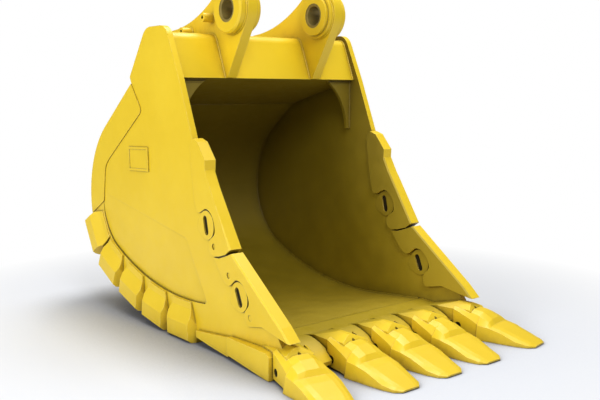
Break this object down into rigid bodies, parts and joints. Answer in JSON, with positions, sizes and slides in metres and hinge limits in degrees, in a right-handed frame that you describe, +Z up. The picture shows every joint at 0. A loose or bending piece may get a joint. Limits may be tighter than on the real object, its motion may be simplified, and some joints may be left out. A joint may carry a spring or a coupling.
{
  "type": "excavator bucket",
  "caption": "Open digging bucket with socketed teeth, hooked side protectors and heel shrouds, carried by two hinge plates with pin bores.",
  "frame": {"origin": "on the stick pin axis, midway between the two hinge plates", "axes": "+X across the bucket along both pins, +Y towards the back of the bucket and away from the teeth, +Z up as it stands on its teeth and heel"},
  "size_m": [1.7154, 2.7097, 2.1222],
  "materials": {
    "yellow_paint": "satin yellow enamel over welded plate and castings",
    "bushing_steel": "bored and hardened steel",
    "lock_steel": "dark forged steel"
  },
  "bodies": {
    "bucket": {"adapter_1": "yellow_paint", "adapter_2": "yellow_paint", "adapter_3": "yellow_paint", "adapter_4": "yellow_paint", "adapter_5": "yellow_paint", "badge_plate_left": "yellow_paint", "badge_plate_right": "yellow_paint", "corner_gusset_left": "yellow_paint", "corner_gusset_right": "yellow_paint", "corner_strips": "yellow_paint", "floor_wear_plates": "yellow_paint", "heel_shroud_1": "yellow_paint", "heel_shroud_2": "yellow_paint", "heel_shroud_3": "yellow_paint", "heel_shroud_4": "yellow_paint", "heel_shroud_5": "yellow_paint", "hinge_plate_left": "yellow_paint", "hinge_plate_right": "yellow_paint", "keeper_bosses_left": "yellow_paint", "keeper_bosses_right": "yellow_paint", "link_bushing_left": "bushing_steel", "link_bushing_right": "bushing_steel", "link_hub_left": "yellow_paint", "link_hub_right": "yellow_paint", "lip_plate": "yellow_paint", "lip_shroud_1": "yellow_paint", "lip_shroud_2": "yellow_paint", "lip_shroud_3": "yellow_paint", "lip_shroud_4": "yellow_paint", "lock_boss_lower_left": "yellow_paint", "lock_boss_lower_right": "yellow_paint", "lock_boss_upper_left": "yellow_paint", "lock_boss_upper_right": "yellow_paint", "protector_locks_left": "lock_steel", "protector_locks_right": "lock_steel", "protector_lower_left": "yellow_paint", "protector_lower_right": "yellow_paint", "protector_upper_left": "yellow_paint", "protector_upper_right": "yellow_paint", "rear_strip_left": "yellow_paint", "rear_strip_right": "yellow_paint", "side_plate_left": "yellow_paint", "side_plate_right": "yellow_paint", "stick_bushing_left": "bushing_steel", "stick_bushing_right": "bushing_steel", "stick_hub_left": "yellow_paint", "stick_hub_right": "yellow_paint", "tip_1": "yellow_paint", "tip_2": "yellow_paint", "tip_3": "yellow_paint", "tip_4": "yellow_paint", "tip_5": "yellow_paint", "torque_tube": "yellow_paint", "wrapper": "yellow_paint"},
    "lock_1": {"tip_lock_1": "lock_steel"},
    "lock_2": {"tip_lock_2": "lock_steel"},
    "lock_3": {"tip_lock_3": "lock_steel"},
    "lock_4": {"tip_lock_4": "lock_steel"},
    "lock_5": {"tip_lock_5": "lock_steel"}
  },
  "joints": [
    {"name": "tip_lock_1_turn", "type": "hinge", "parent": "bucket", "child": "lock_1", "pos_m": [-0.75625, -0.93832, -1.88], "axis": [-0.9833, 0.1822, 0], "range_deg": [0, 180]},
    {"name": "tip_lock_2_turn", "type": "hinge", "parent": "bucket", "child": "lock_2", "pos_m": [-0.4033, -0.955, -1.88], "axis": [-1, 0, 0], "range_deg": [0, 180]},
    {"name": "tip_lock_3_turn", "type": "hinge", "parent": "bucket", "child": "lock_3", "pos_m": [-0.0773, -0.955, -1.88], "axis": [-1, 0, 0], "range_deg": [0, 180]},
    {"name": "tip_lock_4_turn", "type": "hinge", "parent": "bucket", "child": "lock_4", "pos_m": [0.2487, -0.955, -1.88], "axis": [-1, 0, 0], "range_deg": [0, 180]},
    {"name": "tip_lock_5_turn", "type": "hinge", "parent": "bucket", "child": "lock_5", "pos_m": [0.60424, -0.96649, -1.88], "axis": [-0.9833, -0.1822, 0], "range_deg": [0, 180]}
  ]
}
